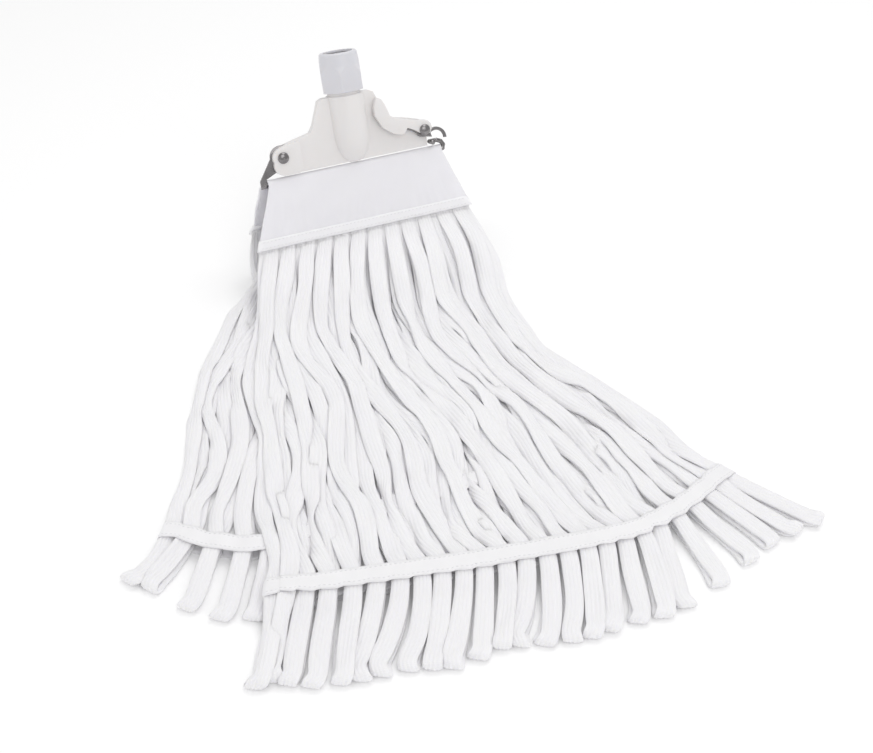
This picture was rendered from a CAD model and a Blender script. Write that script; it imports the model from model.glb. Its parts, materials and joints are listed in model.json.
import json
import math

import bmesh
import bpy
import numpy as np
from mathutils import Matrix, Vector


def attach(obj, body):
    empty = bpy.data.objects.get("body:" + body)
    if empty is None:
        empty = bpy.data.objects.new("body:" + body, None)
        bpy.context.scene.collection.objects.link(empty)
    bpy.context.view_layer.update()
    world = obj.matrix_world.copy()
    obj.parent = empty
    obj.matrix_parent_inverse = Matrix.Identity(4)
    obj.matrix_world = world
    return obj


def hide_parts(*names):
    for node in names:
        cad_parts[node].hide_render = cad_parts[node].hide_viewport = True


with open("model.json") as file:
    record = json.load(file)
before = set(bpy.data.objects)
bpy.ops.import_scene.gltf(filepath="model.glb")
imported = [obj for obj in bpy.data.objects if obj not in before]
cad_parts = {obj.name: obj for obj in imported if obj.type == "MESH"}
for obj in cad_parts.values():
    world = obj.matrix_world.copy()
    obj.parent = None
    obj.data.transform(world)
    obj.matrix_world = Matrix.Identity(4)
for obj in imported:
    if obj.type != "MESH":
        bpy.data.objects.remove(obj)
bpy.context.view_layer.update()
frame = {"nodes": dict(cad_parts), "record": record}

# Camera
print("camera")
cameraSetup = {"place": (-0.3554, -0.9242, 0.813), "heading": 23.0, "tilt": 38.0, "lens": 63.92}
cameraData = bpy.data.cameras.new("camera")
cameraData.lens = cameraSetup["lens"]
cameraData.sensor_width = 36
camera = bpy.data.objects.new("camera", cameraData)
camera.location = cameraSetup["place"]
camera.rotation_euler = (math.radians(90 - cameraSetup["tilt"]), 0,
                         -math.radians(cameraSetup["heading"]))
bpy.context.scene.collection.objects.link(camera)
bpy.context.scene.camera = camera

mm = 0.001
mopPlace = np.array([0.0566, 0.2348, 0.0])  # under the middle of the gate rod
rodHeight = 0.096


def newPiece(name, bm, smooth=True):
    mesh = bpy.data.meshes.new(name)
    bm.to_mesh(mesh)
    bm.free()
    for face in mesh.polygons:
        face.use_smooth = smooth
    piece = bpy.data.objects.new(name, mesh)
    bpy.context.scene.collection.objects.link(piece)
    return piece


# Loops of tape
tape = {
    "frontCount": 25, "backCount": 15, "stations": 12, "tailStation": 10, "backFirst": 3,
    "width": 15.4, "thick": 4.2, "columns": 5, "columnStep": 2.75, "legPoints": 92, "turnPoints": 6,
    "frontRest": 17.0, "floorRest": 4.9, "tailRest": 5.6, "tipRest": 6.9, "raise": 9.6,
    "ribs": 5, "ribDepth": 0.42, "tipGap": 4.4, "midGap": 2.45, "sway": 3.0, "wander": 6.5,
    "twist": 26.0, "pinch": 0.26, "frontSeed": 160, "backSeed": 500, "tipSeed": 900,
}
layers = {"front": slice(0, tape["frontCount"]), "back": slice(tape["frontCount"], None)}

# Floor-plan lines that the front loops cross, left to right: band, four on the way, tailband, tips.
frontLines = np.array([
    [[-97, -24], [-48, -24], [0, -24], [48, -24], [97, -24]],
    [[-130, -112], [-80, -112], [-30, -112], [34, -112], [98, -97]],
    [[-160, -200], [-92, -203], [-36, -203], [30, -203], [84, -198]],
    [[-177, -270], [-98, -272], [-26, -273], [48, -274], [104, -264]],
    [[-192, -338], [-118, -346], [-32, -346], [52, -346], [126, -334]],
    [[-216, -402], [-127, -421], [-36, -438], [56, -445], [148, -411]],
    [[-250, -466], [-166, -492], [-68, -504], [34, -516], [186, -475]]], float)

# The same for the back loops, from where they reach the floor behind the band.
backLines = np.array([
    [[-102, -22], [-60, -22], [-20, -22], [30, -22], [80, -22]],
    [[-172, -108], [-110, -112], [-52, -112], [-4, -112], [46, -112]],
    [[-209, -196], [-150, -203], [-86, -203], [-28, -203], [22, -203]],
    [[-240, -262], [-184, -276], [-112, -276], [-46, -276], [2, -276]],
    [[-270, -312], [-214, -354], [-142, -352], [-66, -352], [0, -352]],
    [[-303, -337], [-244, -404], [-166, -414], [-86, -416], [-14, -418]]], float)
backDrop = [(11, 40), (10, 24), (0, 10)]


def mix(a, b, t):
    return a + (b - a) * t


def clamp01(t):
    return min(1.0, max(0.0, t))


def ease(t):
    u = np.clip(t, 0, 1)
    return u * u * (3 - 2 * u)


# Catmull-Rom curve from b to c.
def spline(a, b, c, d, u):
    return 0.5 * (2 * b + (c - a) * u + (2 * a - 5 * b + 4 * c - d) * u * u
                  + (3 * b - a - 3 * c + d) * u * u * u)


# Point at t, 0 to 1, on a curve through the points.
def smooth(points, t):
    n = len(points) - 1
    k = min(n - 1, int(t * n))
    u = t * n - k
    return spline(points[max(0, k - 1)], points[k], points[k + 1], points[min(n, k + 2)], u)


def sinDeg(a):
    return math.sin(math.radians(a))


# Small offset of one loop's tip from the even row.
def stray(s):
    return np.array([3 * sinDeg(2600 * s), 3 * sinDeg(1700 * s)])


# Middle line of the front loop at s, 0 to 1 across the mop, at station j.
def frontMiddle(s, j):
    t = j / tape["stations"]
    u = clamp01((j - tape["tailStation"]) / (tape["stations"] - tape["tailStation"]))
    flat = smooth([smooth(line, s) for line in frontLines], t) + stray(s) * u
    sway = tape["sway"] * sinDeg(360 * (2.5 * t + 2 * s)) * sinDeg(180 * min(1, t * 1.2))
    low = mix(tape["floorRest"], tape["tailRest"], ease(t * 5 - 3.2))
    rest = mix(tape["frontRest"], low, ease((s - 0.58) / 0.4) * ease((t - 0.3) / 0.3))
    height = mix(mix(rest, 41, (1 - clamp01(t * 3.5)) ** 2), min(rest, tape["tipRest"]), u ** 3)
    return np.array([flat[0] + sway, flat[1], height])


# The same for the back layer, whose first stations drop behind the band.
def backMiddle(s, j):
    first = tape["backFirst"]
    if j < first:
        return np.array([mix(-98, 82, s), *backDrop[j]], float)
    t = (j - first) / (tape["stations"] - first)
    u = clamp01((j - tape["tailStation"]) / (tape["stations"] - tape["tailStation"]))
    flat = smooth([smooth(line, s) for line in backLines], clamp01(t)) + stray(s) * u
    sway = tape["sway"] * sinDeg(360 * (2 * t + 2 * s)) * sinDeg(180 * clamp01(t * 1.2))
    rise = 13 * clamp01(1 - s / 0.24) * sinDeg(180 * clamp01(t * 1.4))
    rest = mix(tape["floorRest"], tape["tailRest"], clamp01(1 - abs(j - tape["tailStation"])))
    return np.array([flat[0] + sway, flat[1], rest + rise])


# Distance along a line to each of its points.
def distances(points):
    return np.r_[0, np.cumsum(np.linalg.norm(np.diff(points, axis=0), axis=1))]


# The same line with evenly spaced points.
def evenly(points, count):
    steps = distances(points)
    at = np.linspace(0, steps[-1], count)
    return np.stack([np.interp(at, steps, points[:, k]) for k in range(3)], 1)


def unit(v):
    return v / np.maximum(np.linalg.norm(v, axis=-1, keepdims=True), 1e-9)


# Targets of one loop: rows along the tape, columns across it, in millimetres.
def layLoop(middleOf, s, number, front):
    rng = np.random.default_rng((tape["frontSeed"] if front else tape["backSeed"]) + number)
    knots = [middleOf(s, j) for j in range(tape["stations"] + 1)]
    parts = 20 * tape["stations"]
    dense = np.array([smooth(knots, t) for t in np.linspace(0, 1, parts + 1)])
    middle = evenly(dense, tape["legPoints"])
    q = np.linspace(0, 1, tape["legPoints"])[:, None]
    steps = distances(dense)
    tailAt = steps[round(parts * tape["tailStation"] / tape["stations"])] / steps[-1]
    ahead = unit(np.gradient(middle, axis=0))
    upward = np.zeros_like(ahead) + (0, 0, 1)
    if not front:  # turned back where the loop drops, so that it doesn't twist there
        upward[:, 1] = -3 * np.abs(ahead[:, 2])
    across = unit(np.cross(ahead, upward))
    above = np.cross(across, ahead)

    # How loose the tape is between hem and tailband, sewn at the tailband and past it.
    free = ease((q - 0.02) / 0.2) * ease((tailAt - q) / 0.1)
    sewn = np.exp(-((q - tailAt) / 0.05) ** 2)
    ends = ease((q - tailAt) / 0.08)
    gap = mix(mix(0.5, tape["midGap"], ease(q / 0.09)), tape["tipGap"], ends ** 2)
    raised = 0.0
    if front:
        lift = 1.2 + (tape["raise"] - 1.2) * ease(q / 0.12) * ease((0.8 - q) / 0.22)
        raised = (number % 2) * lift * ease((tailAt - q) / 0.04)  # every other loop lies higher

    # Two legs, one above the other, and past the tailband a drift that they share.
    tip = np.random.default_rng(tape["tipSeed"] + number)
    bendOver = np.clip((q - tailAt) / (1 - tailAt), 0, 1)
    drift = (tip.uniform(-5, 5) * bendOver ** 1.5
             + tip.uniform(-2.5, 2.5) * np.sin(math.pi * bendOver))
    legs, rolls, pinches = [], [], []
    for side in (1, -1):
        phase, lobes = rng.uniform(0, 2 * math.pi, 3), rng.uniform(1.2, 3.4, 3)
        wave = sum(np.sin(2 * math.pi * lobes[k] * q + phase[k]) * (1, 0.7, 0.45)[k]
                   for k in range(3))
        apart = side * (2.7 + 0.7 * math.sin(1.7 * number)) * free
        legs.append(middle + across * (wave * tape["wander"] * 0.55 * free + apart + drift)
                    + above * gap * side + np.array([0, 0, 1]) * raised)
        twist = sum(np.sin(2 * math.pi * rng.uniform(1.5, 3.5) * q + rng.uniform(0, 6.28))
                    for k in range(2))
        rolls.append(twist * math.radians(tape["twist"]) * free
                     + math.radians(7) * rng.uniform(-1, 1) * ends)
        folds = sum(np.sin(2 * math.pi * rng.uniform(2, 6) * q + rng.uniform(0, 6.28))
                    for k in range(3)) / 3
        folded = tape["pinch"] * np.clip(0.35 + folds, 0, 1) * (0.35 * ends + free)
        pinches.append((1 - folded - 0.11 * sewn)[:, 0])

    # The turn at the tip, and the line from hem to tip to hem.
    turn = np.linspace(0, math.pi, tape["turnPoints"] + 2)[1:-1, None]
    last, axis, up = middle[-1], ahead[-1], above[-1]
    bend = last + (up * np.cos(turn) + axis * np.sin(turn)) * tape["tipGap"]
    centre = np.vstack([legs[0], bend, legs[1][::-1]])
    roll = np.vstack([rolls[0], np.zeros((tape["turnPoints"], 1)), rolls[1][::-1]])
    sideways = np.vstack([across, np.repeat(across[-1:], tape["turnPoints"], 0), across[::-1]])

    # Each row rolled about the line and pinched.
    along = unit(np.gradient(centre, axis=0))
    sideways = unit(sideways - along * np.sum(sideways * along, axis=1, keepdims=True))
    normal = np.cross(sideways, along)
    sideways = sideways * np.cos(roll) + normal * np.sin(roll)
    columns = (np.arange(tape["columns"]) - 2) * tape["columnStep"]
    squeeze = np.r_[q[:, 0], np.ones(tape["turnPoints"]), q[::-1, 0]]
    turned = mix(pinches[0][-1], pinches[1][-1], np.linspace(0, 1, tape["turnPoints"]))
    pinch = np.r_[pinches[0], turned, pinches[1][::-1]]
    narrow = (0.86 + 0.14 * ease(squeeze / 0.1)) * pinch
    rows = centre[:, None] + sideways[:, None] * (columns[None, :] * narrow[:, None])[..., None]
    return rows, squeeze, squeeze / tailAt, pinch


# Pairs of points closer than reach, found on a grid.
def nearPairs(p, reach):
    cell = np.floor(p / reach).astype(np.int64)
    cell -= cell.min(0) - 1
    size = cell.max(0) + 2
    key = (cell[:, 0] * size[1] + cell[:, 1]) * size[2] + cell[:, 2]
    order = np.argsort(key, kind="stable")
    ranked = key[order]
    first, second = [], []
    for dx in (0, 1):
        for dy in (-1, 0, 1):
            for dz in (-1, 0, 1):
                if (dx, dy, dz) < (0, 0, 0):
                    continue
                goal = key + (dx * size[1] + dy) * size[2] + dz
                low = np.searchsorted(ranked, goal, "left")
                count = np.searchsorted(ranked, goal, "right") - low
                i = np.repeat(np.arange(len(p)), count)
                shift = low - np.r_[0, np.cumsum(count)[:-1]]
                j = order[np.arange(count.sum()) + np.repeat(shift, count)]
                keep = i < j if (dx, dy, dz) == (0, 0, 0) else slice(None)
                first.append(i[keep])
                second.append(j[keep])
    i, j = np.concatenate(first), np.concatenate(second)
    near = np.sum((p[i] - p[j]) ** 2, axis=1) < reach * reach
    return i[near], j[near]


# How the tapes are let down. Lengths are in millimetres, and ownRows are the rows of
# the same tape that may lie close together.
relax = {"steps": 160, "calmSteps": 12, "sink": 0.22, "lookEvery": 6, "lookPast": 1.2,
         "ownRows": 4, "pushShare": 1.3}


# Lets the tapes sink onto each other and the floor, each pushed off those that it presses.
def settle(points, radius, ground, pull):
    loops, rows, columns, _ = points.shape
    target = points.copy()
    p = points.copy()

    ties = []  # rows or columns a few steps apart, each set with no point in two ties

    def tie(a, b, stiff):
        if p[a].size and p[b].size:
            rest = np.linalg.norm(target[b] - target[a], axis=-1, keepdims=True)
            ties.append((a, b, rest, stiff))

    def one(k):
        return slice(k, k + 1)

    whole = slice(None)
    for step, stiff in ((1, 0.9), (2, 0.35), (4, 0.25)):
        for start in range(2 * step):
            tie((whole, slice(start, rows - step, 2 * step)),
                (whole, slice(start + step, rows, 2 * step)), stiff)
    for start in (0, 1):
        tie((whole, whole, slice(start, columns - 1, 2)),
            (whole, whole, slice(start + 1, columns, 2)), 0.9)
    for start, step, stiff in ((0, 4, 0.9), (0, 2, 0.5), (1, 2, 0.5), (2, 2, 0.5)):
        tie((whole, whole, one(start)), (whole, whole, one(start + step)), stiff)
    for near, far in ((0, 4), (4, 0)):  # across the corner, so that a tape doesn't shear
        tie((whole, slice(0, rows - 2), one(near)), (whole, slice(2, rows), one(far)), 0.3)

    size = loops * rows * columns
    loopOf = np.repeat(np.arange(loops), rows * columns)
    rowOf = np.tile(np.repeat(np.arange(rows), columns), loops)
    r = radius.reshape(-1)

    def pressing(flat, reach):  # near points, but not of the same stretch of one tape
        i, j = nearPairs(flat, reach)
        keep = (loopOf[i] != loopOf[j]) | (np.abs(rowOf[i] - rowOf[j]) > relax["ownRows"])
        return i[keep], j[keep]

    freeRows = np.ones((1, rows, 1, 1))
    freeRows[:, :2] = freeRows[:, -2:] = 0
    for step in range(relax["steps"]):
        before = p.copy()
        if step < relax["steps"] - relax["calmSteps"]:
            p[..., 2] -= relax["sink"]
        p += (target - p) * pull
        flat = p.reshape(-1, 3)
        if step % relax["lookEvery"] == 0:
            i, j = pressing(flat, 2 * r.max() + relax["lookPast"])
        for _ in range(2):
            d = flat[j] - flat[i]
            dist = np.sqrt(np.sum(d * d, axis=1))
            deep = r[i] + r[j] - dist
            hit = deep > 0
            ih, jh = i[hit], j[hit]
            d = d[hit] * (0.5 * deep[hit] / np.maximum(dist[hit], 1e-6))[:, None]
            count = np.bincount(ih, minlength=size) + np.bincount(jh, minlength=size)
            share = relax["pushShare"] / np.maximum(count, relax["pushShare"])
            for k in range(3):
                flat[:, k] += share * (np.bincount(jh, d[:, k], size)
                                       - np.bincount(ih, d[:, k], size))
        p = flat.reshape(points.shape)
        for a, b, rest, stiff in ties:
            d = p[b] - p[a]
            n = np.linalg.norm(d, axis=-1, keepdims=True)
            move = d * (stiff * 0.5 * (n - rest) / np.maximum(n, 1e-6))
            p[a] += move
            p[b] -= move
        p = before + (p - before) * freeRows
        p[..., 2] = np.maximum(p[..., 2], ground)
    flat = p.reshape(-1, 3)
    i, j = pressing(flat, 2 * r.max())
    deep = r[i] + r[j] - np.linalg.norm(flat[i] - flat[j], axis=1)
    print("deepest press", round(float(deep.max()), 2),
          "over 1 mm", int((deep > 1).sum()), "of", len(deep))
    for _ in range(2):
        p[:, 1:-1] = 0.5 * p[:, 1:-1] + 0.25 * (p[:, 2:] + p[:, :-2])
    p[..., 2] = np.maximum(p[..., 2], ground)
    return p


# More rows along a tape, on smooth curves.
def upsample(rows, factor):
    n = len(rows)
    count = int((n - 1) * factor) + 1
    at = np.linspace(0, n - 1, count)
    k = np.minimum(at.astype(int), n - 2)
    u = (at - k).reshape((-1,) + (1,) * (rows.ndim - 1))
    before, after = np.maximum(k - 1, 0), np.minimum(k + 2, n - 1)
    return spline(rows[before], rows[k], rows[k + 1], rows[after], u)


# Weave map in metres, from a spot for each vertex.
def mapWeave(bm, spot):
    uv = bm.loops.layers.uv.new("weave")
    for face in bm.faces:
        for corner in face.loops:
            corner[uv].uv = spot[corner.vert]


# Closed skin over rings of points, with a weave map.
def wrapTube(name, ring, girth, along, caps=True):
    count, around = ring.shape[:2]
    bm = bmesh.new()
    bmesh.ops.create_grid(bm, x_segments=around, y_segments=count - 1, size=1)
    spot = {}
    for v in bm.verts:
        i = round((v.co.y + 1) / 2 * (count - 1))
        m = round((v.co.x + 1) / 2 * around)
        spot[v] = (m / around * girth, along[i])
        v.co = ring[i, m % around]
    mapWeave(bm, spot)
    bmesh.ops.remove_doubles(bm, verts=bm.verts, dist=1e-7)
    if caps:
        bmesh.ops.holes_fill(bm, edges=[e for e in bm.edges if e.is_boundary], sides=0)
    bmesh.ops.recalc_face_normals(bm, faces=bm.faces)
    return newPiece(name, bm)


# Both ends of a loop carried up inside its hem.
def tuckIn(rows, back):
    inside = np.array((0, -0.9, 4.9) if back else (0, 1.9, 4.6))
    rows = np.concatenate([rows[:1] + inside, rows, rows[-1:] + inside])
    if back:
        fromEnd = np.minimum(np.arange(len(rows)), np.arange(len(rows))[::-1])
        rows[..., 0] *= 1 - 0.05 * np.exp(-(fromEnd / 5.0) ** 2)[:, None]
    return rows


# Flat ribbed tube over the settled rows of one loop.
def buildTape(name, rows, plump, pinch):
    rows = upsample(tuckIn(rows, "back" in name), 1.5) * mm + mopPlace
    plump, pinch = (upsample(np.pad(v, 1, mode="edge")[:, None], 1.5)[:, 0] for v in (plump, pinch))
    middle = rows[:, 2]
    along = unit(np.gradient(middle, axis=0))
    half = tape["columnStep"] * 2 * mm * pinch[:, None]
    slope = (rows[:, 4] - rows[:, 0]) / (2 * half)
    bow = ((rows[:, 0] + rows[:, 4]) / 2 - middle) / half ** 2
    normal = unit(np.cross(unit(slope), along))
    around = 8 * tape["ribs"]
    k = np.arange(around)
    a = 1 - 2 * (np.where(k < around // 2, k, around - 1 - k) + 0.5) / (around // 2)
    face = np.where(k < around // 2, 1.0, -1.0)
    rib = tape["ribDepth"] * mm * np.where((k % 4 == 0) | (k % 4 == 3), 1, -1) / 2
    swell = (1 - np.abs(a) ** 2.6) ** 0.5
    width = (tape["width"] / 2 * mm) * pinch
    x = a[None, :] * width[:, None]
    lift = face * (swell[None, :] * tape["thick"] / 2 * mm * plump[:, None]
                   + rib * (0.35 + 0.65 * swell))
    ring = (middle[:, None] + slope[:, None] * x[..., None] + bow[:, None] * (x ** 2)[..., None]
            + normal[:, None] * lift[..., None])
    count = len(rows)
    length = distances(middle)
    piece = wrapTube(name, ring, 2 * tape["width"] * mm, length)
    path = [tuple(float(c) for c in x) for x in middle[::3]]
    if (count - 1) % 3:
        path.append(tuple(float(c) for c in middle[-1]))
    return piece, path, float(length[-1])


print("laying the loops")
names, laid, sizes, toTail, pinched = [], [], [], [], []
for front, count, middleOf in ((True, tape["frontCount"], frontMiddle),
                               (False, tape["backCount"], backMiddle)):
    for number in range(count):
        lattice, squeeze, ratio, pinch = layLoop(middleOf, number / (count - 1), number, front)
        names.append(f"loop_{'front' if front else 'back'}_{number + 1:02d}")
        laid.append(lattice)
        sizes.append(squeeze)
        toTail.append(ratio)
        pinched.append(pinch)
laid, sizes, toTail, pinched = np.array(laid), np.array(sizes), np.array(toTail), np.array(pinched)
plump = (0.3 + 0.7 * ease(sizes / 0.07)) * (1 + 0.5 * (1 - pinched))
tailZone = np.exp(-((toTail - 1) / 0.03) ** 2)
radius = np.repeat((plump * tape["thick"] / 2)[..., None], tape["columns"], 2)
ground = radius + 0.3 + 1.15 * tailZone[..., None]
radius[layers["back"]] += tailZone[layers["back"], :, None]  # room for the back tailband
pull = np.zeros(laid.shape[:2] + (1, 3))
pull[..., :2] = 0.03
pull[..., 0, :2] += 0.25 * tailZone[..., None]
pull[..., 0, 2] = 0.1 * tailZone + 0.1 * ease((0.2 - sizes) / 0.15)
settled = settle(laid, radius, ground, pull)

print("loops")
loops = []
for name, rows, fullness, pinch in zip(names, settled, plump, pinched):
    piece, path, length = buildTape(name.replace("loop", "tape"), rows, fullness, pinch)
    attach(piece, "mop_head")
    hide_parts(name)
    loops.append(piece)

# Tailbands
tailband = {"half": 7.5, "thick": 0.9, "lift": 0.62, "rows": 7, "feel": 5.0}


# Lifts a line of points until it lies over every tape near it.
def drape(line, cloth):
    grains = cloth.reshape(-1, 3)
    high = []
    for point in line:
        near = np.hypot(*(grains[:, :2] - point[:2]).T) < tailband["feel"]
        high.append(point[2])
        if near.any():
            high[-1] = max(point[2], grains[near, 2].max() + tape["thick"] / 2 + tailband["lift"])
    high = np.array(high)
    for _ in range(2):
        high[1:-1] = np.maximum(high[1:-1], (high[:-2] + high[2:]) / 2)
    return np.column_stack([line[:, :2], high])


# Strip of tape sewn round one layer, over the upper legs and back under the lower ones.
def buildTailband(name, settledLoops, tailAt):
    last = tape["legPoints"] - 1
    count = settledLoops.shape[1]
    mid = 40  # any row well along the leg, since the rows are evenly spaced
    step = np.linalg.norm(settledLoops[0, mid + 1, 2] - settledLoops[0, mid, 2])
    rings = []
    for w in np.linspace(-tailband["half"], tailband["half"], tailband["rows"]):
        upper, lower = [], []
        for rows, atTail in zip(settledLoops, tailAt):
            at = atTail * last + w / step
            for row, belt in ((at, upper), (count - 1 - at, lower)):
                k = int(row)
                across = mix(rows[k], rows[k + 1], row - k)
                ahead = unit(rows[k + 1, 2] - rows[k, 2])
                wide = across[4] - across[0]
                normal = unit(np.cross(wide, ahead))
                out = normal * (tape["thick"] / 2 + tailband["lift"])
                if (out[2] < 0) == (belt is upper):
                    out = -out
                left, right = sorted((across[0], across[4]), key=lambda c: c[0])
                edge = unit(right - left)
                belt += [left - edge * 1.2 + out * 0.86, across[2] + out * 1.05,
                         right + edge * 1.2 + out * 0.86]
        upper = drape(np.array(upper), settledLoops)
        side = unit(upper[-1] - upper[-2])
        start = unit(upper[0] - upper[1])
        path = [*upper, (upper[-1] + lower[-1]) / 2 + side * 1.6, *lower[::-1],
                (upper[0] + lower[0]) / 2 + start * 1.6]
        rings.append(path)
    ring = np.array(rings)
    smoother = 0.7 * ring + 0.15 * np.roll(ring, 1, axis=1) + 0.15 * np.roll(ring, -1, axis=1)
    fine = np.stack([upsample(np.vstack([r[-2:], r, r[:3]]), 4)[8:-9] for r in smoother])
    fine[..., 2] = np.maximum(fine[..., 2], 0.5)
    fine = fine * mm + mopPlace
    middle = fine[tailband["rows"] // 2]
    around = float(distances(middle)[-1])
    down = np.linspace(0, 2 * tailband["half"] * mm, tailband["rows"])
    piece = wrapTube(name, fine, around, down, caps=False)
    piece.modifiers.new("cloth", "SOLIDIFY").thickness = tailband["thick"] * mm
    piece.modifiers["cloth"].offset = 0
    return piece, around, fine


print("tailbands")
bands, belts, bandLengths = [], [], []
for part, group in layers.items():
    piece, around, belt = buildTailband(f"tailTape_{part}", settled[group],
                                        1 / toTail[group].max(axis=1))
    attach(piece, "mop_head")
    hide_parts(f"tailband_{part}")
    bands.append(piece)
    bandLengths.append(round(around, 3))
    belts.append(belt)

# Headband
headband = {"topHalf": 83.5, "lowHalf": 105.0, "panel": 48.0, "radius": 3.4, "thick": 1.7,
            "frontAngle": 23.0, "backAngle": 10.0, "across": 120, "bulge": 1.1, "ripple": 0.22}
headband["reach"] = headband["panel"] + 4  # the cloth goes on into the hem
binding = {"length": 9.0, "thick": 4.4, "segments": 90}


# y and z of a point on a hanging panel, from the rod's centre.
def panelPoint(angle, reach, out, back):
    a = math.radians(angle)
    y = -(headband["radius"] + out) * math.cos(a) - reach * math.sin(a)
    z = (headband["radius"] + out) * math.sin(a) - reach * math.cos(a)
    return (-y if back else y), z


# Half the cloth's width at a height from the rod's centre.
def halfWidth(z):
    flare = headband["lowHalf"] - headband["topHalf"]
    return headband["topHalf"] + flare * max(0.0, -z) / headband["reach"]


# Cloth up the front, over the rod and down the back.
def buildHeadband():
    radius, across = headband["radius"], headband["across"]
    arc = np.radians(np.linspace(180 - headband["frontAngle"], headband["backAngle"], 16)[1:-1])
    rows = []
    for reach in np.linspace(headband["reach"], 0, 34):
        rows.append((panelPoint(headband["frontAngle"], reach, 0, False), reach, -1))
    rows += [((radius * math.cos(t), radius * math.sin(t)), 0.0, 0) for t in arc]
    for reach in np.linspace(0, headband["reach"], 34):
        rows.append((panelPoint(headband["backAngle"], reach, 0, True), reach, 1))
    bm = bmesh.new()
    bmesh.ops.create_grid(bm, x_segments=across, y_segments=len(rows) - 1, size=1)
    steps = distances(np.array([row[0] for row in rows]))
    spot = {}
    for v in bm.verts:
        i = round((v.co.y + 1) / 2 * (len(rows) - 1))
        u = v.co.x
        (y, z), reach, side = rows[i]
        half = halfWidth(z)
        fall = min(1.0, reach / headband["panel"])
        if side == 1:
            half += (6.5 if u < 0 else 1.0) * ease(fall / 0.12) * (1 - fall) - 6 * fall * (u < 0)
        middle = math.sin(math.pi * fall)
        bulge = headband["bulge"] * middle * (1 - u ** 4) * (1 + 0.4 * math.sin(5 * u + 2))
        crease = 0.9 * math.exp(-((u + 0.93 - 0.12 * fall) / 0.05) ** 2) * middle
        crease -= 0.7 * math.exp(-((u - 0.9 + 0.1 * fall) / 0.06) ** 2) * middle
        ripple = headband["ripple"] * fall ** 2 * math.sin(u * 62 + 3 * math.sin(u * 9))
        fold = 0.5 * math.sin(u * 7.3 + fall * 5.1) * middle
        out = (bulge + crease + ripple + fold) * (1 if side else 0)
        edge = (1.2 * math.sin(fall * 9 + u) * max(0.0, abs(u) - 0.9) * 10
                * (0.3 if side < 0 else 0.8))
        v.co = (u * half + edge * 0.4, y + out * side, z)
        spot[v] = (u * half * mm, steps[i] * mm)
    mapWeave(bm, spot)
    for v in bm.verts:
        v.co = Vector((v.co.x * mm, v.co.y * mm, v.co.z * mm + rodHeight)) + Vector(mopPlace)
    bmesh.ops.recalc_face_normals(bm, faces=bm.faces)
    piece = newPiece("headband_cloth", bm)
    piece.modifiers.new("cloth", "SOLIDIFY").thickness = headband["thick"] * mm
    piece.modifiers["cloth"].offset = 0
    return piece


# Tape folded over a panel's lower edge.
def buildBinding(name, angle, back):
    half = binding["thick"] / 2
    top, low = headband["panel"] - 0.5, headband["panel"] + binding["length"]
    flat = [(-half + 0.6, top), (-half, top + 0.6), (-half - 0.12, top + 2.6),
            (-half + 0.1, top + 3.6), (-half - 0.18, top + 5.6), (-half, low - 2.0),
            (-half + 0.35, low - 0.9), (-half + 1.1, low - 0.2)]
    outline = [(0, top), *flat, (0, low), *((-x, z) for x, z in reversed(flat))]
    rings = []
    for s in np.linspace(-1, 1, binding["segments"]):
        ring = []
        for x, reach in outline:
            y, z = panelPoint(angle, reach, -x * (1 - 0.6 * ease((abs(s) - 0.965) / 0.035)), back)
            wide = halfWidth(z) + 0.8 - (6.0 if back and s < 0 else 0)
            gathers = 0.14 * math.sin(s * 95) * (1 if abs(x) > half - 0.2 else 0)
            pinch = gathers + 0.25 * math.sin(s * 9 + x)
            ring.append((s * wide, y + pinch * 0.5, z))
        rings.append(ring)
    rings = np.array(rings) * mm + mopPlace + np.array([0, 0, rodHeight])
    return wrapTube(name, rings, 0.028, np.linspace(0, 0.19, binding["segments"]))


print("headband")
headbandCloth = buildHeadband()
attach(headbandCloth, "mop_head")
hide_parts("headband")
hems = []
panels = (("front", headband["frontAngle"], False), ("back", headband["backAngle"], True))
for part, angle, back in panels:
    hem = buildBinding(f"hem_{part}", angle, back)
    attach(hem, "mop_head")
    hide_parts(f"binding_{part}")
    hems.append(hem)

# Clamp
print("clamp")
# Rounding of each moulded or bent part: millimetres, segments, angle that counts as sharp.
edges = {
    "clamp_frame": (0.9, 3, 25), "grip_collet": (0.4, 2, 30), "collar_nut": (0.7, 3, 20),
    "gate_rod": (0.0, 0, 0), "gate_strap": (0.3, 2, 30), "gate_rivet": (0.2, 2, 30),
    "latch_lever": (0.7, 3, 30), "latch_hook": (0.35, 2, 30), "latch_rivet": (0.2, 2, 30),
}


# Copy of a node's mesh with its edges rounded, in that node's place.
def roundedCopy(node, width, segments, sharp):
    bm = bmesh.new()
    bm.from_mesh(frame["nodes"][node].data)
    bmesh.ops.remove_doubles(bm, verts=bm.verts, dist=1e-6)
    bmesh.ops.dissolve_limit(bm, angle_limit=math.radians(0.5), verts=bm.verts, edges=bm.edges)
    if width:
        keen = [e for e in bm.edges
                if len(e.link_faces) == 2 and e.calc_face_angle(0) > math.radians(sharp)]
        bmesh.ops.bevel(bm, geom=keen, offset=width * mm, offset_type="OFFSET", affect="EDGES",
                        segments=segments, profile=0.5, material=-1, clamp_overlap=True)
    bmesh.ops.triangulate(bm, faces=[f for f in bm.faces if len(f.verts) > 4])
    piece = newPiece(f"{node}_finished", bm)
    piece.data.set_sharp_from_angle(angle=math.radians(32))
    return piece


slotOf = {row["node"]: row["material_slot"] for row in frame["record"]["subparts"]
          if row.get("material_slot")}
bodies = frame["record"]["behaviour"]["bodies"]
clampParts = {}
for node, (width, segments, sharp) in edges.items():
    part = roundedCopy(node, width, segments, sharp)
    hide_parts(node)
    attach(part, next(body for body, nodes in bodies.items() if node in nodes))
    clampParts[node] = part

# Sewing thread
print("stitches")
thread = {"length": 2.3, "gap": 1.3, "radius": 0.3, "samples": 160}


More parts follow.
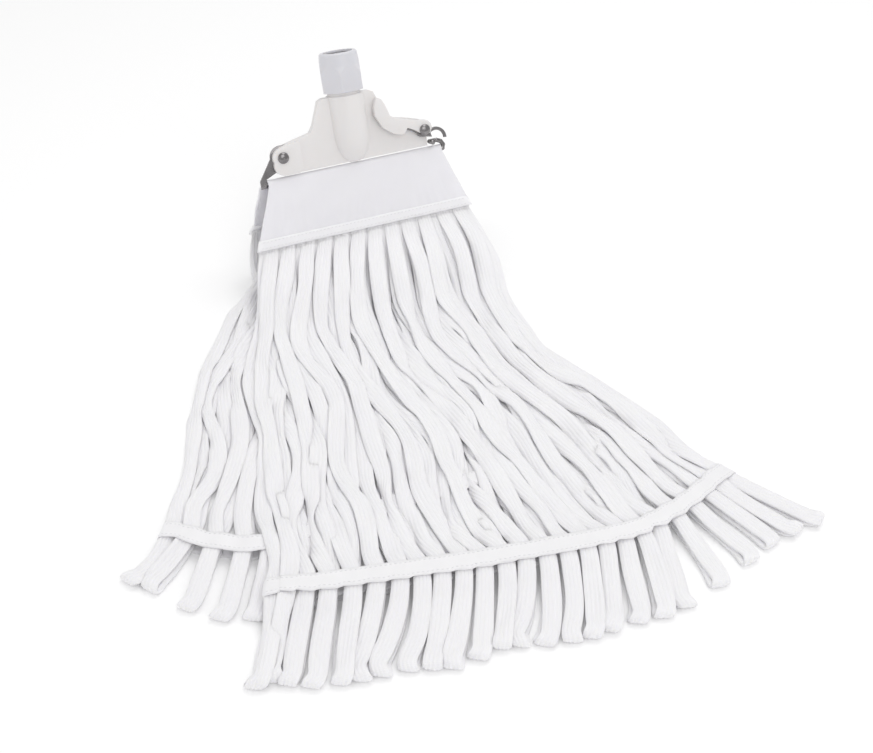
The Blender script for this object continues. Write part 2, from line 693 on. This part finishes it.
# Stitches end to end along a line of points, standing out from the cloth.
def sewRow(bm, line, outward):
    steps = distances(line)
    pitch = (thread["length"] + thread["gap"]) * mm
    for at in np.arange(pitch / 2, steps[-1] - pitch / 2, pitch):
        a, b = (np.array([np.interp(at + d, steps, line[:, k]) for k in range(3)])
                for d in (-thread["length"] * mm / 2, thread["length"] * mm / 2))
        up = np.array([np.interp(at, steps, outward[:, k]) for k in range(3)])
        ahead = Vector(b - a).normalized()
        side = ahead.cross(Vector(up)).normalized()
        turn = Matrix((ahead, side, ahead.cross(side))).transposed().to_4x4()
        scale = Matrix.Diagonal((thread["length"] * mm / 2, thread["radius"] * mm,
                                 thread["radius"] * mm, 1))
        bmesh.ops.create_uvsphere(bm, u_segments=6, v_segments=5, radius=1,
                                  matrix=Matrix.Translation(Vector((a + b) / 2)) @ turn @ scale)


# Two rows of stitches along one hem.
def hemThread(name, angle, back):
    bm = bmesh.new()
    slope = math.radians(angle)
    facing = np.array([0, (1 if back else -1) * math.cos(slope), math.sin(slope)])
    for reach in (headband["panel"] + 1.2, headband["panel"] + 6.4):
        y, z = panelPoint(angle, reach, binding["thick"] / 2 + 0.05, back)
        x = np.linspace(-halfWidth(z) + (9 if back else 1.5), halfWidth(z) - 1.5, thread["samples"])
        line = np.stack([x, np.full_like(x, y), np.full_like(x, z)], 1)
        line = line * mm + mopPlace + np.array([0, 0, rodHeight])
        sewRow(bm, line, np.repeat(facing[None], thread["samples"], 0))
    return newPiece(name, bm)


# Two rows of stitches along one tailband.
def bandThread(name, belt):
    bm = bmesh.new()
    rows = tailband["rows"]
    for row in (1, rows - 2):
        line = belt[row]
        ahead = unit(np.gradient(line, axis=0))
        side = unit(belt[row + 1] - belt[row])
        outward = unit(np.cross(side, ahead))
        centre = line.mean(0)
        if np.sum(outward[:, 2] * (line[:, 2] - centre[2])) < 0:
            outward = -outward
        sewRow(bm, line + outward * (tailband["thick"] / 2 + 0.02) * mm, outward)
    return newPiece(name, bm)


threads = []
for part, angle, back in panels:
    threads.append(hemThread(f"thread_hem_{part}", angle, back))
for part, belt in zip(("front", "back"), belts):
    threads.append(bandThread(f"thread_tail_{part}", belt))
for piece in threads:
    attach(piece, "mop_head")

# Materials
print("materials")


# One frame for each effect, its nodes laid out in a row.
def frameNodes(material, groups):
    for line, (effect, members) in enumerate(groups.items()):
        box = material.node_tree.nodes.new("NodeFrame")
        box.label = effect
        for column, node in enumerate(members):
            node.parent = box
            node.location = (-1100 + 200 * column, 400 - 320 * line)


# New material and its shader, the shader labelled.
def startMaterial(name, label):
    material = bpy.data.materials.new(name)
    material.use_nodes = True
    shader = material.node_tree.nodes["Principled BSDF"]
    shader.label = label
    return material, shader


# Soft tubular knit: stitches along the tape, slightly uneven yarn.
def knitMaterial(name, tint, shade, stitch):
    material, shader = startMaterial(name, "white knit yarn")
    nodes, links = material.node_tree.nodes, material.node_tree.links
    shader.inputs["Roughness"].default_value = 0.93
    shader.inputs["Specular IOR Level"].default_value = 0.2
    shader.inputs["Sheen Weight"].default_value = 0.3
    shader.inputs["Sheen Roughness"].default_value = 0.5
    shader.inputs["Subsurface Weight"].default_value = 0.4
    shader.inputs["Subsurface Radius"].default_value = (0.0022, 0.0022, 0.0024)
    shader.inputs["Subsurface Scale"].default_value = 1.0
    place = nodes.new("ShaderNodeUVMap")
    place.label = "around and along the tape"
    place.uv_map = "weave"
    wales = nodes.new("ShaderNodeTexWave")
    wales.label = "columns of stitches"
    wales.bands_direction = "X"
    wales.inputs["Scale"].default_value = 0.314 / stitch
    wales.inputs["Distortion"].default_value = 0.6
    courses = nodes.new("ShaderNodeTexWave")
    courses.label = "rows of stitches"
    courses.bands_direction = "Y"
    courses.inputs["Scale"].default_value = 0.314 / (stitch * 0.8)
    courses.inputs["Distortion"].default_value = 0.8
    loopHeight = nodes.new("ShaderNodeMath")
    loopHeight.label = "height of one stitch"
    loopHeight.operation = "MULTIPLY"
    space = nodes.new("ShaderNodeTexCoord")
    space.label = "place on the mop"
    fuzz = nodes.new("ShaderNodeTexNoise")
    fuzz.label = "loose fibres"
    fuzz.inputs["Scale"].default_value = 1400
    fuzz.inputs["Detail"].default_value = 4
    wear = nodes.new("ShaderNodeTexNoise")
    wear.label = "uneven whiteness"
    wear.inputs["Scale"].default_value = 22
    wear.inputs["Detail"].default_value = 3
    tone = nodes.new("ShaderNodeMix")
    tone.label = "shade to full white"
    tone.data_type = "RGBA"
    tone.inputs["A"].default_value = (*shade, 1)
    tone.inputs["B"].default_value = (*tint, 1)
    valley = nodes.new("ShaderNodeMapRange")
    valley.label = "valleys between stitches"
    valley.inputs["To Min"].default_value = 0.95
    valley.inputs["To Max"].default_value = 1.0
    dark = nodes.new("ShaderNodeVectorMath")
    dark.label = "darken the valleys"
    dark.operation = "SCALE"
    knit = nodes.new("ShaderNodeBump")
    knit.label = "stitch relief"
    knit.inputs["Strength"].default_value = 0.7
    knit.inputs["Distance"].default_value = 0.00022
    nap = nodes.new("ShaderNodeBump")
    nap.label = "fibre relief"
    nap.inputs["Strength"].default_value = 0.35
    nap.inputs["Distance"].default_value = 0.00012
    links.new(place.outputs["UV"], wales.inputs["Vector"])
    links.new(place.outputs["UV"], courses.inputs["Vector"])
    links.new(wales.outputs["Fac"], loopHeight.inputs[0])
    links.new(courses.outputs["Fac"], loopHeight.inputs[1])
    links.new(space.outputs["Object"], fuzz.inputs["Vector"])
    links.new(space.outputs["Object"], wear.inputs["Vector"])
    links.new(wear.outputs["Fac"], tone.inputs["Factor"])
    links.new(loopHeight.outputs["Value"], valley.inputs["Value"])
    links.new(tone.outputs["Result"], dark.inputs[0])
    links.new(valley.outputs["Result"], dark.inputs["Scale"])
    links.new(dark.outputs["Vector"], shader.inputs["Base Color"])
    links.new(loopHeight.outputs["Value"], knit.inputs["Height"])
    links.new(fuzz.outputs["Fac"], nap.inputs["Height"])
    links.new(nap.outputs["Normal"], knit.inputs["Normal"])
    links.new(knit.outputs["Normal"], shader.inputs["Normal"])
    frameNodes(material, {"stitches": [place, wales, courses, loopHeight],
                          "whiteness": [wear, tone, valley, dark],
                          "surface relief": [space, fuzz, nap, knit]})
    return material


# Close plain weave of fine yarn.
def wovenMaterial(name, tint, shade, thickness, sheen):
    material, shader = startMaterial(name, "woven cloth")
    nodes, links = material.node_tree.nodes, material.node_tree.links
    shader.inputs["Specular IOR Level"].default_value = 0.25
    shader.inputs["Subsurface Weight"].default_value = 0.35
    shader.inputs["Subsurface Radius"].default_value = (0.0024, 0.0024, 0.0026)
    shader.inputs["Subsurface Scale"].default_value = 1.0
    shader.inputs["Sheen Weight"].default_value = sheen
    shader.inputs["Sheen Roughness"].default_value = 0.4
    place = nodes.new("ShaderNodeUVMap")
    place.label = "across and down the cloth"
    place.uv_map = "weave"
    warp = nodes.new("ShaderNodeTexWave")
    warp.label = "warp yarns"
    warp.bands_direction = "X"
    warp.inputs["Scale"].default_value = 0.314 / thickness
    warp.inputs["Distortion"].default_value = 0.5
    weft = nodes.new("ShaderNodeTexWave")
    weft.label = "weft yarns"
    weft.bands_direction = "Y"
    weft.inputs["Scale"].default_value = 0.314 / thickness
    weft.inputs["Distortion"].default_value = 0.5
    crossing = nodes.new("ShaderNodeMath")
    crossing.label = "yarns over and under"
    crossing.operation = "MAXIMUM"
    space = nodes.new("ShaderNodeTexCoord")
    space.label = "place on the mop"
    cloud = nodes.new("ShaderNodeTexNoise")
    cloud.label = "uneven whiteness"
    cloud.inputs["Scale"].default_value = 30
    cloud.inputs["Detail"].default_value = 4
    slub = nodes.new("ShaderNodeTexNoise")
    slub.label = "slubs in the yarn"
    slub.inputs["Scale"].default_value = 260
    tone = nodes.new("ShaderNodeMix")
    tone.label = "shade to full white"
    tone.data_type = "RGBA"
    tone.inputs["A"].default_value = (*shade, 1)
    tone.inputs["B"].default_value = (*tint, 1)
    rough = nodes.new("ShaderNodeMapRange")
    rough.label = "worn smooth in places"
    rough.inputs["To Min"].default_value = 0.78
    rough.inputs["To Max"].default_value = 0.95
    weave = nodes.new("ShaderNodeBump")
    weave.label = "weave relief"
    weave.inputs["Strength"].default_value = 0.55
    weave.inputs["Distance"].default_value = 0.00012
    soft = nodes.new("ShaderNodeBump")
    soft.label = "slub relief"
    soft.inputs["Strength"].default_value = 0.3
    soft.inputs["Distance"].default_value = 0.0003
    links.new(place.outputs["UV"], warp.inputs["Vector"])
    links.new(place.outputs["UV"], weft.inputs["Vector"])
    links.new(warp.outputs["Fac"], crossing.inputs[0])
    links.new(weft.outputs["Fac"], crossing.inputs[1])
    links.new(space.outputs["Object"], cloud.inputs["Vector"])
    links.new(space.outputs["Object"], slub.inputs["Vector"])
    links.new(cloud.outputs["Fac"], tone.inputs["Factor"])
    links.new(cloud.outputs["Fac"], rough.inputs["Value"])
    links.new(tone.outputs["Result"], shader.inputs["Base Color"])
    links.new(rough.outputs["Result"], shader.inputs["Roughness"])
    links.new(crossing.outputs["Value"], weave.inputs["Height"])
    links.new(slub.outputs["Fac"], soft.inputs["Height"])
    links.new(soft.outputs["Normal"], weave.inputs["Normal"])
    links.new(weave.outputs["Normal"], shader.inputs["Normal"])
    frameNodes(material, {"yarns": [place, warp, weft, crossing], "whiteness": [cloud, tone, rough],
                          "surface relief": [space, slub, soft, weave]})
    return material


# Moulded polypropylene: satin, faintly clouded, scuffed.
def plasticMaterial(name, tint, shade, roughness, glow):
    material, shader = startMaterial(name, "moulded plastic")
    nodes, links = material.node_tree.nodes, material.node_tree.links
    shader.inputs["Specular IOR Level"].default_value = 0.45
    shader.inputs["IOR"].default_value = 1.49
    shader.inputs["Subsurface Weight"].default_value = glow
    shader.inputs["Subsurface Radius"].default_value = (0.004, 0.0035, 0.003)
    shader.inputs["Subsurface Scale"].default_value = 1.0
    space = nodes.new("ShaderNodeTexCoord")
    space.label = "place on the clamp"
    cloud = nodes.new("ShaderNodeTexNoise")
    cloud.label = "clouding in the resin"
    cloud.inputs["Scale"].default_value = 38
    cloud.inputs["Detail"].default_value = 3
    tone = nodes.new("ShaderNodeMix")
    tone.label = "two tones of the resin"
    tone.data_type = "RGBA"
    tone.inputs["A"].default_value = (*shade, 1)
    tone.inputs["B"].default_value = (*tint, 1)
    stretch = nodes.new("ShaderNodeMapping")
    stretch.label = "scuffs run across"
    stretch.inputs["Scale"].default_value = (1, 6, 9)
    scuff = nodes.new("ShaderNodeTexNoise")
    scuff.label = "fine scuffs"
    scuff.inputs["Scale"].default_value = 130
    scuff.inputs["Detail"].default_value = 6
    rough = nodes.new("ShaderNodeMapRange")
    rough.label = "scuffed to satin"
    rough.inputs["To Min"].default_value = roughness - 0.09
    rough.inputs["To Max"].default_value = roughness + 0.12
    peel = nodes.new("ShaderNodeTexNoise")
    peel.label = "mould grain"
    peel.inputs["Scale"].default_value = 1500
    grain = nodes.new("ShaderNodeBump")
    grain.label = "grain relief"
    grain.inputs["Strength"].default_value = 0.16
    grain.inputs["Distance"].default_value = 0.00008
    scratch = nodes.new("ShaderNodeBump")
    scratch.label = "scuff relief"
    scratch.inputs["Strength"].default_value = 0.12
    scratch.inputs["Distance"].default_value = 0.00008
    links.new(space.outputs["Object"], cloud.inputs["Vector"])
    links.new(space.outputs["Object"], stretch.inputs["Vector"])
    links.new(space.outputs["Object"], peel.inputs["Vector"])
    links.new(cloud.outputs["Fac"], tone.inputs["Factor"])
    links.new(tone.outputs["Result"], shader.inputs["Base Color"])
    links.new(stretch.outputs["Vector"], scuff.inputs["Vector"])
    links.new(scuff.outputs["Fac"], rough.inputs["Value"])
    links.new(rough.outputs["Result"], shader.inputs["Roughness"])
    links.new(peel.outputs["Fac"], grain.inputs["Height"])
    links.new(scuff.outputs["Fac"], scratch.inputs["Height"])
    links.new(scratch.outputs["Normal"], grain.inputs["Normal"])
    links.new(grain.outputs["Normal"], shader.inputs["Normal"])
    frameNodes(material, {"colour": [space, cloud, tone],
                          "scuffs": [stretch, scuff, rough, scratch],
                          "mould grain": [peel, grain]})
    return material


# Bright zinc-plated steel, drawn or pressed, lightly scratched.
def steelMaterial(name, tint, roughness):
    material, shader = startMaterial(name, "plated steel")
    nodes, links = material.node_tree.nodes, material.node_tree.links
    shader.inputs["Metallic"].default_value = 1.0
    space = nodes.new("ShaderNodeTexCoord")
    space.label = "place on the clamp"
    stretch = nodes.new("ShaderNodeMapping")
    stretch.label = "marks run along the rod"
    stretch.inputs["Scale"].default_value = (0.2, 3, 3)
    scratches = nodes.new("ShaderNodeTexNoise")
    scratches.label = "drawing marks"
    scratches.inputs["Scale"].default_value = 900
    scratches.inputs["Detail"].default_value = 5
    blotch = nodes.new("ShaderNodeTexNoise")
    blotch.label = "dull patches in the plating"
    blotch.inputs["Scale"].default_value = 160
    tone = nodes.new("ShaderNodeMix")
    tone.label = "dull to bright"
    tone.data_type = "RGBA"
    tone.inputs["A"].default_value = (*(c * 0.45 for c in tint), 1)
    tone.inputs["B"].default_value = (*tint, 1)
    rough = nodes.new("ShaderNodeMapRange")
    rough.label = "polish"
    rough.inputs["To Min"].default_value = roughness - 0.08
    rough.inputs["To Max"].default_value = roughness + 0.16
    relief = nodes.new("ShaderNodeBump")
    relief.label = "scratch relief"
    relief.inputs["Strength"].default_value = 0.2
    relief.inputs["Distance"].default_value = 0.00004
    links.new(space.outputs["Object"], stretch.inputs["Vector"])
    links.new(space.outputs["Object"], blotch.inputs["Vector"])
    links.new(stretch.outputs["Vector"], scratches.inputs["Vector"])
    links.new(blotch.outputs["Fac"], tone.inputs["Factor"])
    links.new(tone.outputs["Result"], shader.inputs["Base Color"])
    links.new(scratches.outputs["Fac"], rough.inputs["Value"])
    links.new(rough.outputs["Result"], shader.inputs["Roughness"])
    links.new(scratches.outputs["Fac"], relief.inputs["Height"])
    links.new(relief.outputs["Normal"], shader.inputs["Normal"])
    frameNodes(material, {"plating": [blotch, tone, rough],
                          "scratches": [space, stretch, scratches, relief]})
    return material


# Twisted sewing thread.
def threadMaterial(name, tint):
    material, shader = startMaterial(name, "sewing thread")
    nodes, links = material.node_tree.nodes, material.node_tree.links
    shader.inputs["Roughness"].default_value = 0.6
    shader.inputs["Sheen Weight"].default_value = 0.2
    space = nodes.new("ShaderNodeTexCoord")
    space.label = "place on the mop"
    twist = nodes.new("ShaderNodeTexWave")
    twist.label = "twist of the plies"
    twist.bands_direction = "DIAGONAL"
    twist.inputs["Scale"].default_value = 900
    tone = nodes.new("ShaderNodeMix")
    tone.label = "between the plies"
    tone.data_type = "RGBA"
    tone.inputs["A"].default_value = (*(c * 0.8 for c in tint), 1)
    tone.inputs["B"].default_value = (*tint, 1)
    relief = nodes.new("ShaderNodeBump")
    relief.label = "ply relief"
    relief.inputs["Strength"].default_value = 0.4
    relief.inputs["Distance"].default_value = 0.0001
    links.new(space.outputs["Object"], twist.inputs["Vector"])
    links.new(twist.outputs["Fac"], tone.inputs["Factor"])
    links.new(twist.outputs["Fac"], relief.inputs["Height"])
    links.new(tone.outputs["Result"], shader.inputs["Base Color"])
    links.new(relief.outputs["Normal"], shader.inputs["Normal"])
    frameNodes(material, {"twist": [space, twist, tone, relief]})
    return material


whiteKnit = knitMaterial("white_knit", (0.98, 0.972, 0.992), (0.93, 0.92, 0.945), 0.0011)
bandCloth = wovenMaterial("band_weave", (0.92, 0.91, 0.95), (0.86, 0.85, 0.885), 0.0006, 0.15)
bindingCloth = wovenMaterial("binding_weave", (0.975, 0.968, 0.99), (0.92, 0.91, 0.935),
                             0.0009, 0.2)
clampPlastic = plasticMaterial("clamp_resin", (0.83, 0.81, 0.805), (0.79, 0.77, 0.76), 0.4, 0.15)
collarPlastic = plasticMaterial("collar_resin", (0.72, 0.715, 0.75), (0.68, 0.675, 0.71), 0.36, 0.2)
brightSteel = steelMaterial("bright_steel", (0.36, 0.345, 0.35), 0.13)
whiteThread = threadMaterial("white_thread", (0.9, 0.89, 0.92))

for piece in loops:
    piece.data.materials.append(whiteKnit)
headbandCloth.data.materials.append(bandCloth)
for piece in hems + bands:
    piece.data.materials.append(bindingCloth)
for piece in threads:
    piece.data.materials.append(whiteThread)
finishes = {"clamp_plastic": clampPlastic, "collar_plastic": collarPlastic, "steel": brightSteel}
for node, piece in clampParts.items():
    piece.data.materials.clear()
    piece.data.materials.append(finishes[slotOf[node]])

# Floor and light
print("floor and light")
studio = {"world": 0.68, "key": 9.0, "top": 9.0, "side": 1.6, "floorGlow": 0.06}
floorMesh = bmesh.new()
bmesh.ops.create_grid(floorMesh, x_segments=1, y_segments=1, size=6)
floor = newPiece("floor", floorMesh, False)
paper, paperShader = startMaterial("white_paper", "white paper sweep")
paperShader.inputs["Base Color"].default_value = (0.97, 0.97, 0.97, 1)
paperShader.inputs["Roughness"].default_value = 0.8
paperShader.inputs["Specular IOR Level"].default_value = 0.1
paperShader.inputs["Emission Color"].default_value = (1, 1, 1, 1)
paperShader.inputs["Emission Strength"].default_value = studio["floorGlow"]
floor.data.materials.append(paper)

world = bpy.data.worlds.new("studio")
world.use_nodes = True
world.node_tree.nodes["Background"].inputs["Color"].default_value = (1, 1, 1, 1)
world.node_tree.nodes["Background"].inputs["Strength"].default_value = studio["world"]
bpy.context.scene.world = world
for name, place, size in (("key", (0.1, -1.5, 1.6), 1.5), ("top", (0.6, 0.45, 1.8), 1.3),
                          ("side", (-1.4, 0.3, 0.5), 0.8)):
    lamp = bpy.data.lights.new(name, "AREA")
    lamp.energy = studio[name]
    lamp.size = size
    lampObject = bpy.data.objects.new(name, lamp)
    lampObject.location = place
    lampObject.rotation_euler = (-Vector(place)).to_track_quat("-Z", "Y").to_euler()
    bpy.context.scene.collection.objects.link(lampObject)
bpy.context.scene.view_settings.view_transform = "Standard"
